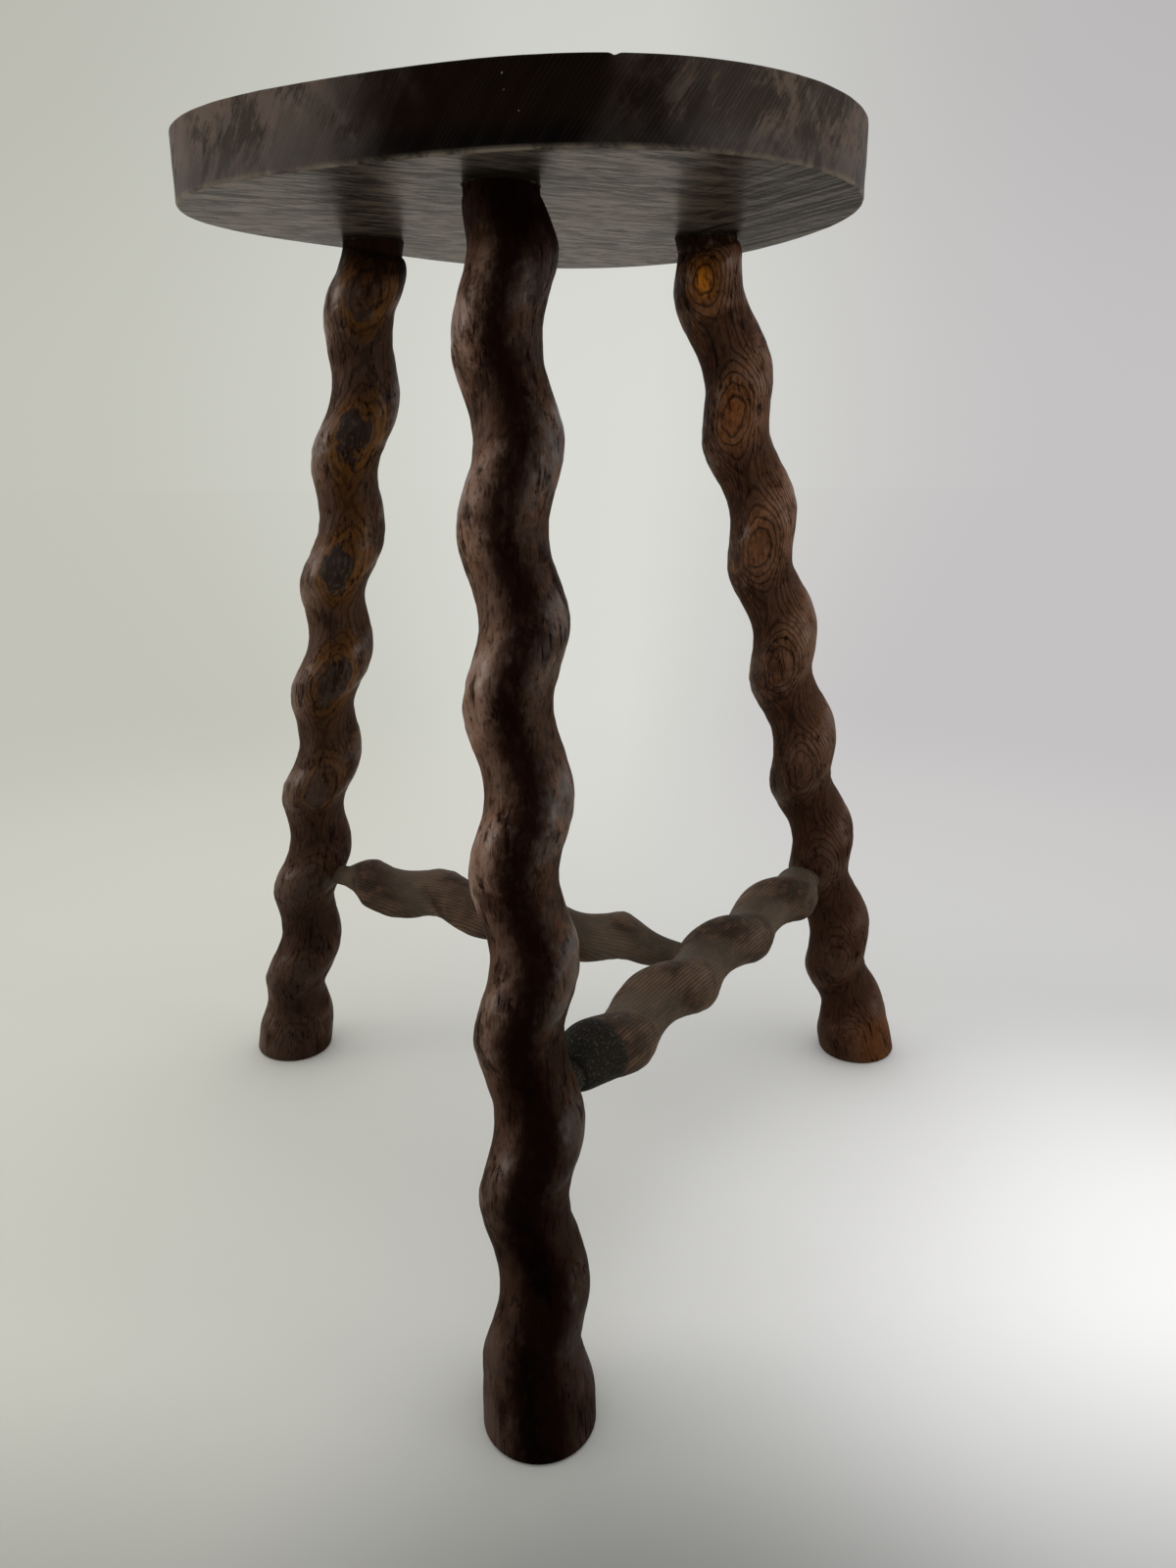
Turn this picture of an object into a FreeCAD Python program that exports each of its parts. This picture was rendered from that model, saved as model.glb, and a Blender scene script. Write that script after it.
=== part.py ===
import FreeCAD, Part
import math
import os
from FreeCAD import Placement, Rotation, Vector

# A small stool: a thick sawn seat slab on three splayed barley twist legs. One twisted rail
# crosses from the front leg to the right leg, and a second one runs from the left leg into
# its middle. Every joint is a round tenon glued into a bored socket.
# Lengths are in millimetres and angles in degrees. +Z is up, the camera side is -Y, and the
# origin is on the floor, under the middle of the rectangle that the stool covers.

os.makedirs("parts", exist_ok=True)
doc = FreeCAD.newDocument("BarleyTwistStool")
sheet = doc.addObject("Spreadsheet::Sheet", "Sizes")

# Driving dimensions
SIZES = {
    # Seat slab: mean radius, and how far its sawn outline departs from a circle
    "stool_height": 460.0,
    "seat_thickness": 24.8,
    "seat_radius": 131.1,
    "seat_oval_share": -0.030,
    "seat_oval_turn_share": 0.005,
    "seat_egg_share": -0.063,
    "seat_egg_turn_share": -0.046,
    "seat_square_share": 0.021,
    "seat_square_turn_share": 0.006,
    # Where each leg enters the seat and meets the floor, from the seat's middle
    "front_top_reach": 77.5,
    "front_top_bearing": -99.7,
    "front_foot_reach": 174.3,
    "front_foot_bearing": -91.7,
    "left_top_reach": 92.3,
    "left_top_bearing": 144.2,
    "left_foot_reach": 184.5,
    "left_foot_bearing": 146.4,
    "right_top_reach": 81.9,
    "right_top_bearing": 26.9,
    "right_foot_reach": 204.1,
    "right_foot_bearing": 25.2,
    # Leg section: turned blank, and the round strand that winds about its axis
    "leg_blank_radius": 21.15,
    "leg_foot_strand_radius": 17.2,
    "leg_top_strand_radius": 16.0,
    "leg_strand_offset": 3.35,
    "foot_height": 10.0,
    "foot_runout": 34.0,
    "foot_spare": 14.0,
    # Leg twist: length of one turn at the foot, in the middle and at the top
    "front_foot_pitch": 66.1,
    "front_middle_pitch": 60.0,
    "front_top_pitch": 70.7,
    "front_twist_start": 52.0,
    "left_foot_pitch": 63.8,
    "left_middle_pitch": 58.9,
    "left_top_pitch": 72.0,
    "left_twist_start": 275.7,
    "right_foot_pitch": 63.6,
    "right_middle_pitch": 59.8,
    "right_top_pitch": 68.9,
    "right_twist_start": 180.5,
    # Leg neck, as distances down the axis from the seat's underside, and its tenon in the seat
    "neck_collar_reach": 4.2,
    "neck_collar_radius": 13.3,
    "neck_shoulder_reach": 24.0,
    "neck_roundness": 1.7,
    "seat_tenon_length": 17.0,
    # Rails: where they meet the legs, and their section
    "cross_front_height": 117.2,
    "cross_right_height": 122.0,
    "stem_left_height": 119.1,
    "stem_meeting_share": 0.506,
    "cross_start_strand_radius": 13.8,
    "cross_end_strand_radius": 12.6,
    "cross_strand_offset": 2.7,
    "stem_start_strand_radius": 13.6,
    "stem_end_strand_radius": 11.6,
    "stem_strand_offset": 2.85,
    "cross_start_pitch": 57.6,
    "cross_middle_pitch": 56.0,
    "cross_end_pitch": 54.6,
    "cross_twist_start": 102.5,
    "stem_start_pitch": 66.1,
    "stem_middle_pitch": 55.9,
    "stem_end_pitch": 48.4,
    "stem_twist_start": 174.5,
    # Rail ends, as distances from the axis of the piece that takes the tenon
    "cross_start_stop": 5.0,
    "cross_start_tip_radius": 5.8,
    "cross_start_collar_reach": 27.0,
    "cross_start_collar_radius": 6.5,
    "cross_start_shoulder_reach": 44.0,
    "cross_start_roundness": 1.7,
    "cross_end_stop": 5.0,
    "cross_end_tip_radius": 5.6,
    "cross_end_collar_reach": 26.0,
    "cross_end_collar_radius": 6.2,
    "cross_end_shoulder_reach": 36.0,
    "cross_end_roundness": 2.0,
    "stem_start_stop": 5.0,
    "stem_start_tip_radius": 5.0,
    "stem_start_collar_reach": 26.0,
    "stem_start_collar_radius": 5.5,
    "stem_start_shoulder_reach": 46.0,
    "stem_start_roundness": 1.0,
    "stem_end_stop": 4.0,
    "stem_end_tip_radius": 5.2,
    "stem_end_collar_reach": 17.0,
    "stem_end_collar_radius": 5.8,
    "stem_end_shoulder_reach": 48.0,
    "stem_end_roundness": 1.0,
    # Glue line round every tenon, and how far a cutter runs past the wood
    "glue_gap": 0.1,
    "cutter_overrun": 30.0,
}
TURN_SECTION_COUNT = 14
RUNOUT_SECTION_COUNT = 14
NOSE_SECTION_COUNT = 10
OUTLINE_POINT_COUNT = 72
UP = Vector(0, 0, 1)


def enter(name, number):
    """Write one number to the next free row of the sheet and give it its name."""
    enter.row += 1
    sheet.set("A%d" % enter.row, name)
    sheet.set("B%d" % enter.row, repr(float(number)))
    sheet.setAlias("B%d" % enter.row, name)


enter.row = 0
for size_name, size in SIZES.items():
    enter(size_name, size)
doc.recompute()


def read(name):
    return float(sheet.get(name))


def bind(feature, **cells):
    """Tie each named property of a feature to an expression in the sheet's names."""
    for property_name, expression in cells.items():
        feature.setExpression(property_name, expression)
    return feature


def add(kind, name, **cells):
    return bind(doc.addObject("Part::" + kind, name), **cells)


def fuse(name, shapes):
    feature = doc.addObject("Part::MultiFuse", name)
    feature.Shapes = shapes
    return feature


def cut(name, base, tools):
    """Take several cutters away from one base."""
    feature = doc.addObject("Part::Cut", name)
    feature.Base = base
    feature.Tool = tools[0] if len(tools) == 1 else fuse(name + "_cutters", tools)
    return feature


# Seat outline and the places of the legs


def outline_radius(angle):
    """The mean radius with a two, three and four lobed departure from the circle."""
    lobes = 1.0
    for count, lobe in ((2, "oval"), (3, "egg"), (4, "square")):
        lobes += read("seat_%s_share" % lobe) * math.cos(count * angle)
        lobes += read("seat_%s_turn_share" % lobe) * math.sin(count * angle)
    return read("seat_radius") * lobes


def outline_points():
    points = []
    for index in range(OUTLINE_POINT_COUNT):
        angle = 2 * math.pi * index / OUTLINE_POINT_COUNT
        radius = outline_radius(angle)
        points.append(Vector(radius * math.cos(angle), radius * math.sin(angle), 0))
    return points


def polar(reach, bearing, height):
    angle = math.radians(bearing)
    return Vector(reach * math.cos(angle), reach * math.sin(angle), height)


LEGS = ("front", "left", "right")
underside = read("stool_height") - read("seat_thickness")
foot_of = {leg: polar(read(leg + "_foot_reach"), read(leg + "_foot_bearing"), 0) for leg in LEGS}
top_of = {leg: polar(read(leg + "_top_reach"), read(leg + "_top_bearing"), underside) for leg in LEGS}


def covered_rectangle():
    """Lowest and highest x and y of the soles and the seat, seen from above."""
    seat = outline_points()
    low_x = [point.x for point in seat]
    low_y = [point.y for point in seat]
    high_x = list(low_x)
    high_y = list(low_y)
    for leg in LEGS:
        along = top_of[leg] - foot_of[leg]
        reach_x = read("leg_blank_radius") * math.hypot(1, along.x / along.z)
        reach_y = read("leg_blank_radius") * math.hypot(1, along.y / along.z)
        low_x.append(foot_of[leg].x - reach_x)
        high_x.append(foot_of[leg].x + reach_x)
        low_y.append(foot_of[leg].y - reach_y)
        high_y.append(foot_of[leg].y + reach_y)
    return min(low_x), max(high_x), min(low_y), max(high_y)


west, east, south, north = covered_rectangle()
seat_middle = Vector(-(west + east) / 2, -(south + north) / 2, 0)
for leg in LEGS:
    foot_of[leg] = foot_of[leg] + seat_middle
    top_of[leg] = top_of[leg] + seat_middle


def height_on_leg(leg, height):
    """The point of a leg's axis at a height above the floor."""
    return foot_of[leg] + (top_of[leg] - foot_of[leg]) * (height / underside)


def along_axis(start, end, side):
    """The placement whose Z runs from start to end and whose X leans towards side."""
    axis = (end - start).normalize()
    across = (side - axis * side.dot(axis)).normalize()
    return Placement(start, Rotation(across, axis.cross(across), axis, "ZXY"))


def slid(placement, distance):
    """The same placement, moved along its own Z."""
    return placement * Placement(Vector(0, 0, distance), Rotation())


# Twisted strand


def twist_angle(share, length, start, pitches):
    """Turn of the strand at a share of the length, its pace drawn through three pitches."""
    first, middle, last = (1.0 / pitch for pitch in pitches)
    centred = share - 0.5
    turns = middle * (centred + 0.5)
    turns += (last - first) * (centred ** 2 - 0.25) / 2
    turns += 2 * (last + first - 2 * middle) * (centred ** 3 + 0.125) / 3
    return math.radians(start) + 2 * math.pi * length * turns


def evenly(first, last, count):
    return [first + (last - first) * index / count for index in range(count + 1)]


def strand(name, places, section):
    """Loft circles that stand off the axis by a turning offset.

    section(place) gives the strand's radius, its offset and the offset's angle there.
    """
    rings = []
    for place in places:
        radius, offset, angle = section(place)
        centre = Vector(offset * math.cos(angle), offset * math.sin(angle), place)
        circle = Part.Circle(centre, Vector(0, 0, 1), radius)
        rings.append(Part.Wire([circle.toShape(0, math.pi), circle.toShape(math.pi, 2 * math.pi)]))
    feature = doc.addObject("Part::Feature", name)
    feature.Shape = Part.makeLoft(rings, True, False)
    return feature


def strands(node, base, section, spans):
    """One loft for each span of places along the same axis."""
    pieces = []
    for suffix, places in spans.items():
        piece = strand(node + suffix, places, section)
        piece.Placement = base
        pieces.append(piece)
    return pieces


# Noses, where a strand is drawn in to the collar at the root of its tenon


def fullness(share, roundness):
    """How full a nose is at a share of its length, from its collar to the whole strand."""
    share = min(max(share, 0.0), 1.0)
    return (1 - (1 - share) ** roundness) ** (1 / roundness)


def drawn_in(end, distance, radius, offset):
    """The strand's radius and offset at a distance from one end, drawn in along its nose."""
    collar = read(end + "_collar_reach")
    nose_share = (distance - collar) / (read(end + "_shoulder_reach") - collar)
    full = fullness(nose_share, read(end + "_roundness"))
    return read(end + "_collar_radius") * (1 - full) + radius * full, offset * full


def nose_distances(end):
    """Distances from a collar to its shoulder, crowded towards the collar."""
    collar = read(end + "_collar_reach")
    reach = read(end + "_shoulder_reach") - collar
    quarters = evenly(0.0, math.pi / 2, NOSE_SECTION_COUNT)
    return [collar + reach * (1 - math.cos(quarter)) for quarter in quarters]


# Legs


def smooth(share):
    share = min(max(share, 0.0), 1.0)
    return share * share * (3 - 2 * share)


def leg_section(leg, length):
    """The strand's radius, offset and angle at a place along a leg, from the floor up."""
    pitches = [read("%s_%s_pitch" % (leg, place)) for place in ("foot", "middle", "top")]

    def section(place):
        share = place / length
        carved = smooth((place - read("foot_height")) / read("foot_runout"))
        twisted = read("leg_foot_strand_radius") * (1 - share) + read("leg_top_strand_radius") * share
        radius = twisted * carved + read("leg_blank_radius") * (1 - carved)
        offset = read("leg_strand_offset") * carved
        radius, offset = drawn_in("neck", length - place, radius, offset)
        return radius, offset, twist_angle(share, length, read(leg + "_twist_start"), pitches)

    return section


def make_leg(leg, sockets):
    """A twisted leg with its turned neck and tenon, its sole cut level with the floor."""
    node = leg + "_leg"
    length = (top_of[leg] - foot_of[leg]).Length
    enter(node + "_length", length)
    base = along_axis(foot_of[leg], top_of[leg], Vector(1, 0, 0))
    foot = add("Cylinder", node + "_foot", Radius="Sizes.leg_blank_radius",
               Height="Sizes.foot_spare + Sizes.foot_height")
    foot.Placement = slid(base, -read("foot_spare"))
    tenon = add("Cylinder", node + "_tenon", Radius="Sizes.neck_collar_radius",
                Height="Sizes.neck_collar_reach + Sizes.seat_tenon_length")
    tenon.Placement = slid(base, length - read("neck_collar_reach"))
    carving_start = read("foot_height") + read("foot_runout")
    neck = [length - distance for distance in reversed(nose_distances("neck"))]
    count = int(TURN_SECTION_COUNT * length / read(leg + "_middle_pitch"))
    twisted = strands(node, base, leg_section(leg, length), {
        "_runout": evenly(read("foot_height"), carving_start, RUNOUT_SECTION_COUNT),
        "_twist": evenly(carving_start, neck[0], count),
        "_neck": neck,
    })
    whole = fuse(node + "_whole", [foot, tenon] + twisted)
    return cut(node, whole, [floor_block(node, foot_of[leg])] + sockets)


def floor_block(node, centre):
    """Everything below the floor round one foot."""
    side = "4 * Sizes.leg_blank_radius"
    block = add("Box", node + "_floor", Length=side, Width=side,
                Height="Sizes.foot_spare + Sizes.cutter_overrun")
    half = 2 * read("leg_blank_radius")
    depth = read("foot_spare") + read("cutter_overrun")
    block.Placement = Placement(centre - Vector(half, half, depth), Rotation())
    return block


# Rails


def rail_section(rail, length):
    """The strand's radius, offset and angle at a place along a rail, drawn in at both noses."""
    pitches = [read("%s_%s_pitch" % (rail, place)) for place in ("start", "middle", "end")]

    def section(place):
        share = place / length
        radius = read(rail + "_start_strand_radius") * (1 - share)
        radius += read(rail + "_end_strand_radius") * share
        offset = read(rail + "_strand_offset")
        for end, distance in ((rail + "_start", place), (rail + "_end", length - place)):
            radius, offset = drawn_in(end, distance, radius, offset)
        return radius, offset, twist_angle(share, length, read(rail + "_twist_start"), pitches)

    return section


def rail_tenon(name, end, towards_middle, clearance):
    """The tapered tenon from a stop to the collar, or its cutter with a clearance round it."""
    end_size = "Sizes." + end
    cone = add("Cone", name, Radius1=end_size + "_tip_radius" + clearance,
               Radius2=end_size + "_collar_radius" + clearance,
               Height="%s_collar_reach - %s_stop" % (end_size, end_size))
    cone.Placement = slid(towards_middle, read(end + "_stop"))
    return cone


def make_rail(node, start, end):
    """A twisted rail on the line from start to end, with a nose and a tenon short of each point."""
    rail = node.split("_")[0]
    length = (end - start).Length
    enter(node + "_length", length)
    base = along_axis(start, end, UP)
    near_nose = nose_distances(rail + "_start")
    far_nose = [length - distance for distance in reversed(nose_distances(rail + "_end"))]
    count = int(TURN_SECTION_COUNT * length / read(rail + "_middle_pitch"))
    tenons = [rail_tenon(node + "_start_tenon", rail + "_start", base, ""),
              rail_tenon(node + "_end_tenon", rail + "_end", along_axis(end, start, UP), "")]
    twisted = strands(node, base, rail_section(rail, length), {
        "_start_nose": near_nose,
        "_twist": evenly(near_nose[-1], far_nose[0], count),
        "_end_nose": far_nose,
    })
    return fuse(node + "_whole", tenons + twisted)


# Seat


def seat_socket(leg):
    """The slanted blind socket for one leg's tenon, which bottoms on the tenon's end."""
    base = along_axis(foot_of[leg], top_of[leg], Vector(1, 0, 0))
    length = (top_of[leg] - foot_of[leg]).Length
    cutter = add("Cylinder", leg + "_seat_socket", Radius="Sizes.neck_collar_radius + Sizes.glue_gap",
                 Height="Sizes.cutter_overrun + Sizes.seat_tenon_length")
    cutter.Placement = slid(base, length - read("cutter_overrun"))
    return cutter


def make_seat():
    """The outline's closed curve, raised by the slab's thickness and bored for the legs."""
    curve = Part.BSplineCurve()
    curve.interpolate(outline_points(), PeriodicFlag=True)
    outline = doc.addObject("Part::Feature", "seat_outline")
    outline.Shape = Part.Face(Part.Wire([curve.toShape()]))
    outline.Placement = Placement(seat_middle + Vector(0, 0, underside), Rotation())
    slab = doc.addObject("Part::Extrusion", "seat_slab")
    slab.Base = outline
    slab.DirMode = "Custom"
    slab.Dir = Vector(0, 0, 1)
    slab.Solid = True
    bind(slab, LengthFwd="Sizes.seat_thickness")
    return cut("seat", slab, [seat_socket(leg) for leg in LEGS])


# Assembly

cross_start = height_on_leg("front", read("cross_front_height"))
cross_end = height_on_leg("right", read("cross_right_height"))
stem_start = height_on_leg("left", read("stem_left_height"))
stem_end = cross_start + (cross_end - cross_start) * read("stem_meeting_share")
gap = " + Sizes.glue_gap"
front_socket = rail_tenon("front_socket", "cross_start", along_axis(cross_start, cross_end, UP), gap)
right_socket = rail_tenon("right_socket", "cross_end", along_axis(cross_end, cross_start, UP), gap)
left_socket = rail_tenon("left_socket", "stem_start", along_axis(stem_start, stem_end, UP), gap)
middle_socket = rail_tenon("middle_socket", "stem_end", along_axis(stem_end, stem_start, UP), gap)

nodes = {
    "seat": make_seat(),
    "front_leg": make_leg("front", [front_socket]),
    "left_leg": make_leg("left", [left_socket]),
    "right_leg": make_leg("right", [right_socket]),
    "cross_stretcher": cut("cross_stretcher", make_rail("cross_rail", cross_start, cross_end),
                           [middle_socket]),
    "stem_stretcher": make_rail("stem_rail", stem_start, stem_end),
}
doc.recompute()

for feature in doc.Objects:
    if "Invalid" in feature.State or "Error" in feature.State:
        raise RuntimeError("%s did not build: %s" % (feature.Name, feature.State))
for node, feature in nodes.items():
    feature.Label = node
    shape = feature.Shape
    if shape.isNull() or not shape.isValid() or len(shape.Solids) != 1:
        raise RuntimeError("%s is not one sound solid" % node)
    shape.exportStep("parts/%s.step" % node)
    print("%-16s %10.1f mm3" % (node, shape.Volume))
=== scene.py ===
"""Barley twist stool: the turned, carved and stained look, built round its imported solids."""

import math

import bpy
import numpy as np
from mathutils import Matrix, Vector


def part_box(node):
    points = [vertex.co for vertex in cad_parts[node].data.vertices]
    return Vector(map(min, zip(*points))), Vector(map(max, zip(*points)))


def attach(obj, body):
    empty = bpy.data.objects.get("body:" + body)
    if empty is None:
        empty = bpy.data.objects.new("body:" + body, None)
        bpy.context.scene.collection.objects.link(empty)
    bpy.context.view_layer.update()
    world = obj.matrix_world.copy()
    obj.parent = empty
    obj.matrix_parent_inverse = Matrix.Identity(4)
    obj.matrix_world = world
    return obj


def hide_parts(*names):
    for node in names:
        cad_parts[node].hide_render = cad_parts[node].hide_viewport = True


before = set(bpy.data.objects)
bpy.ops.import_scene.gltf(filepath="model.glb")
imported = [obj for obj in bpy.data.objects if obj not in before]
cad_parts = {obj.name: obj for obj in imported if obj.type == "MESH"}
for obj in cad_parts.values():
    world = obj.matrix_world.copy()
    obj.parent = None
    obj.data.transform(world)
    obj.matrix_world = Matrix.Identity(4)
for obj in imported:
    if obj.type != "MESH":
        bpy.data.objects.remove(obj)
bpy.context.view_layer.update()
MM = 0.001
TURN = 2 * math.pi

# ---- Sizes, in millimetres and degrees, as the solids have them ----

SEAT_RADIUS = 131.1
SEAT_LOBES = {2: (-0.030, 0.005), 3: (-0.063, -0.046), 4: (0.021, 0.006)}
LEG_BLANK_RADIUS = 21.15
LEG_STRAND_RADII = (17.2, 16.0)
LEG_STRAND_OFFSET = 3.35
FOOT_HEIGHT = 10.0
FOOT_RUNOUT = 34.0
# Neck of a leg: collar reach and radius, shoulder reach, roundness
NECK = (4.2, 13.3, 24.0, 1.7)
SEAT_TENON_LENGTH = 16.9
# Each leg: its foot's and top's reach and bearing from the middle of the seat, its turn
# lengths at the foot, middle and top, the turn it starts from, and the seed of its carving
LEGS = {
    "front": {
        "foot": (174.3, -91.7), "top": (77.5, -99.7),
        "pitches": (66.1, 60.0, 70.7), "start": 52.0, "seed": 11,
    },
    "left": {
        "foot": (184.5, 146.4), "top": (92.3, 144.2),
        "pitches": (63.8, 58.9, 72.0), "start": 275.7, "seed": 18,
    },
    "right": {
        "foot": (204.1, 25.2), "top": (81.9, 26.9),
        "pitches": (63.6, 59.8, 68.9), "start": 180.5, "seed": 25,
    },
}
# Each rail end: stop, tip radius, collar reach, collar radius, shoulder reach, roundness
RAILS = {
    "cross": {
        "strand": (13.8, 12.6), "offset": 2.7, "pitches": (57.6, 56.0, 54.6), "start": 102.5, "seed": 41,
        "near": (5.0, 5.8, 27.0, 6.5, 44.0, 1.7), "far": (5.0, 5.6, 26.0, 6.2, 36.0, 2.0),
    },
    "stem": {
        "strand": (13.6, 11.6), "offset": 2.85, "pitches": (66.1, 55.9, 48.4), "start": 174.5, "seed": 57,
        "near": (5.0, 5.0, 26.0, 5.5, 46.0, 1.0), "far": (4.0, 5.2, 17.0, 5.8, 48.0, 1.0),
    },
}
RAIL_HEIGHTS = {"front": 117.2, "right": 122.0, "left": 119.1}
STEM_MEETING_SHARE = 0.506

# Edges and tool marks
SEAT_EDGE_ROUND = 0.9
SOLE_EDGE_ROUND = 1.8
CARVING_DEPTH = 0.42
RIPPLE_DEPTH = 0.12
RAIL_CARVING_SHARE = 0.8
# The carver's flats and ripples: noise cells to the radius of a piece, and a cell's length along it
FLATS = (1.7, 13.0)
FLATS_THRESHOLD = 0.6
RIPPLES = (5, 4.2)
# Carving on a leg: its start above the floor, the lengths over which it comes in and ends at
# the neck, and the length over which the valleys end at the shoulder
CARVING_START = 6
CARVING_FADE = 20
NECK_FADE = 12
VALLEY_FADE = 10
# Radians from a leg's local X to the line of its darkest stain, deepened there by painted shade
STAIN_AND_SHADE_BEARING = -1.56

# Unevenness of the seat's rim: its depth and the width and height of a noise cell
RIM_UNEVENNESS = 0.35
RIM_CELL_WIDTH = 6
RIM_CELL_HEIGHT = 7
# Chip in the seat's top edge: bearing in degrees, half its width in radians, depth and height
CHIP_BEARING = -80.5
CHIP_HALF_WIDTH = 0.008
CHIP_DEPTH = 0.5
CHIP_HEIGHT = 1.2
# Worn line on the seat's lower edge: its height over the underside, and half its width
WORN_HEIGHT = 0.2
WORN_HALF_WIDTH = 0.7
FACE_MARGIN = 0.1

# Dried glue round each neck: thickness, and the seed of its lumps
GLUE_BEADS = {"front": (0.35, 71), "left": (0.3, 72), "right": (0.3, 73)}
GLUE_SET_IN = 0.2
GLUE_SINK_SHARE = 0.25
# Noise cells round the neck and round the bead, and its least and added thickness
GLUE_CELLS = (3.5, 1.3)
GLUE_CELL_SCALE = 2.2
GLUE_SHARES = (0.12, 2.2)

# Cells of the noise lattice each way, and where on it a piece's own middle falls
LATTICE_CELLS = 32
TURNED_MIDDLE = 9
SEAT_NOISE_MIDDLE = 20

# Points on the outline that is measured, and rows of points along a neck or nose, a tenon,
# a sole's edge, a foot, and the seat's rounds and rim
OUTLINE_STEPS = 7200
NOSE_ROWS = 40
TENON_ROWS = 12
SOLE_EDGE_ROWS = 18
FOOT_ROWS = 16
SEAT_ROUND_ROWS = 7
SEAT_RIM_ROWS = 26

# ---- Small helpers ----


def smooth(share):
    share = np.clip(share, 0, 1)
    return share * share * (3 - 2 * share)


def lattice_noise(points, seed):
    """Smooth noise from 0 to 1: random corner heights of a unit lattice, blended by smoothstep."""
    table = np.random.default_rng(seed).random((LATTICE_CELLS,) * 3)
    cell = np.floor(points).astype(int)
    part = smooth(points - cell)
    total = np.zeros(points.shape[:-1])
    for corner in np.ndindex(2, 2, 2):
        weight = np.ones(points.shape[:-1])
        index = []
        for axis in range(3):
            weight = weight * (part[..., axis] if corner[axis] else 1 - part[..., axis])
            index.append((cell[..., axis] + corner[axis]) % LATTICE_CELLS)
        total += weight * table[tuple(index)]
    return total


def polar(reach, bearing, height):
    angle = math.radians(bearing)
    return np.array([reach * math.cos(angle), reach * math.sin(angle), height])


def outline_radius(angle):
    """Seat outline: the mean radius times one plus its two, three and four lobed departures."""
    lobes = 1.0
    for count, (even, odd) in SEAT_LOBES.items():
        lobes = lobes + even * np.cos(count * angle) + odd * np.sin(count * angle)
    return SEAT_RADIUS * lobes


seat_low, seat_high = (np.array(corner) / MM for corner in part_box("seat"))
UNDERSIDE = seat_low[2]
SEAT_TOP = seat_high[2]
rim_angles = np.linspace(0, TURN, OUTLINE_STEPS)
SEAT_MIDDLE = np.array([
    seat_low[0] - (outline_radius(rim_angles) * np.cos(rim_angles)).min(),
    seat_low[1] - (outline_radius(rim_angles) * np.sin(rim_angles)).min(),
    0.0,
])
FOOT_OF = {leg: polar(*sizes["foot"], 0.0) + SEAT_MIDDLE for leg, sizes in LEGS.items()}
TOP_OF = {leg: polar(*sizes["top"], UNDERSIDE) + SEAT_MIDDLE for leg, sizes in LEGS.items()}


class Axis:
    """A line from start to end with two directions across it; side leans its local X."""

    def __init__(self, start, end, side):
        self.start = start
        self.length = np.linalg.norm(end - start)
        self.along = (end - start) / self.length
        across = side - self.along * np.dot(side, self.along)
        self.across = across / np.linalg.norm(across)
        self.beside = np.cross(self.along, self.across)

    def points(self, first, second, place):
        """Local coordinates, as arrays of one shape, to places in the stool."""
        return (
            self.start
            + first[..., None] * self.across
            + second[..., None] * self.beside
            + place[..., None] * self.along
        )

    def mapping(self):
        """Location and rotation of the local frame, in metres and radians."""
        turn = Matrix((self.across, self.beside, self.along)).transposed()
        return Vector(self.start * MM), turn.to_euler()


def leg_point(leg, height):
    return FOOT_OF[leg] + (TOP_OF[leg] - FOOT_OF[leg]) * (height / UNDERSIDE)


leg_axes = {leg: Axis(FOOT_OF[leg], TOP_OF[leg], np.array([1.0, 0, 0])) for leg in LEGS}
cross_start = leg_point("front", RAIL_HEIGHTS["front"])
cross_end = leg_point("right", RAIL_HEIGHTS["right"])
stem_start = leg_point("left", RAIL_HEIGHTS["left"])
stem_end = cross_start + (cross_end - cross_start) * STEM_MEETING_SHARE
rail_axes = {
    "cross": Axis(cross_start, cross_end, np.array([0, 0, 1.0])),
    "stem": Axis(stem_start, stem_end, np.array([0, 0, 1.0])),
}


def twist_angle(share, length, start, pitches):
    """Turn of the strand: its pace is a parabola through three given turn lengths."""
    first, middle, last = (1 / pitch for pitch in pitches)
    centred = share - 0.5
    turns = middle * (centred + 0.5)
    turns = turns + (last - first) * (centred ** 2 - 0.25) / 2
    turns = turns + 2 * (last + first - 2 * middle) * (centred ** 3 + 0.125) / 3
    return math.radians(start) + TURN * length * turns


def drawn_in(distance, nose, radius, offset):
    """Radius and offset drawn in along a nose, full at its shoulder, a collar at its root."""
    collar, collar_radius, shoulder, roundness = nose
    part = np.clip((distance - collar) / (shoulder - collar), 0, 1)
    full = (1 - (1 - part) ** roundness) ** (1 / roundness)
    return collar_radius * (1 - full) + radius * full, offset * full


def closing_shares():
    """Rows that lie close at first and then farther apart: one minus a quarter turn's cosine."""
    return 1 - np.cos(np.linspace(0, math.pi / 2, NOSE_ROWS))


# ---- Meshes ----


def placed(name, mesh):
    """A smooth object of a finished mesh, riding on the stool's one body."""
    mesh.polygons.foreach_set("use_smooth", np.ones(len(mesh.polygons), bool))
    mesh.update()
    piece = bpy.data.objects.new(name, mesh)
    bpy.context.scene.collection.objects.link(piece)
    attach(piece, "root")
    return piece


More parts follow.
